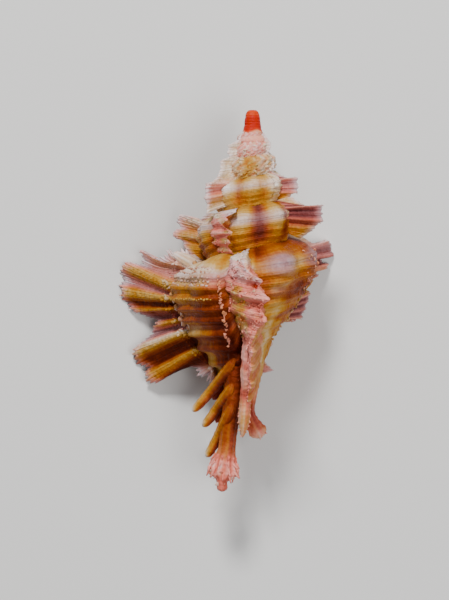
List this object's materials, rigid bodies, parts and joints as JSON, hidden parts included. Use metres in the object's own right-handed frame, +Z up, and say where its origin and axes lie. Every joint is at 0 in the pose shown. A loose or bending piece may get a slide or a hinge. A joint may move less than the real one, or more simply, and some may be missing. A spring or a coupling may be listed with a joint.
{
  "type": "chicoreus laqueatus shell",
  "caption": "Spindle-shaped murex shell lying with its opening down, with coiled whorls, ribbed webbed wings, fringed varices and a spiny canal.",
  "frame": {"origin": "centre of the bounding box in X and Y, at the floor it lies on", "axes": "+Y along the coil axis towards the spire's tip, +Z up away from the shell's opening, +X to the right as the picture shows it"},
  "size_m": [0.022, 0.0382, 0.017],
  "materials": {
    "shell": "satin calcium carbonate, orange and yellow-brown with pink and white fronds"
  },
  "bodies": {
    "root": {"shell": "shell"}
  },
  "joints": []
}
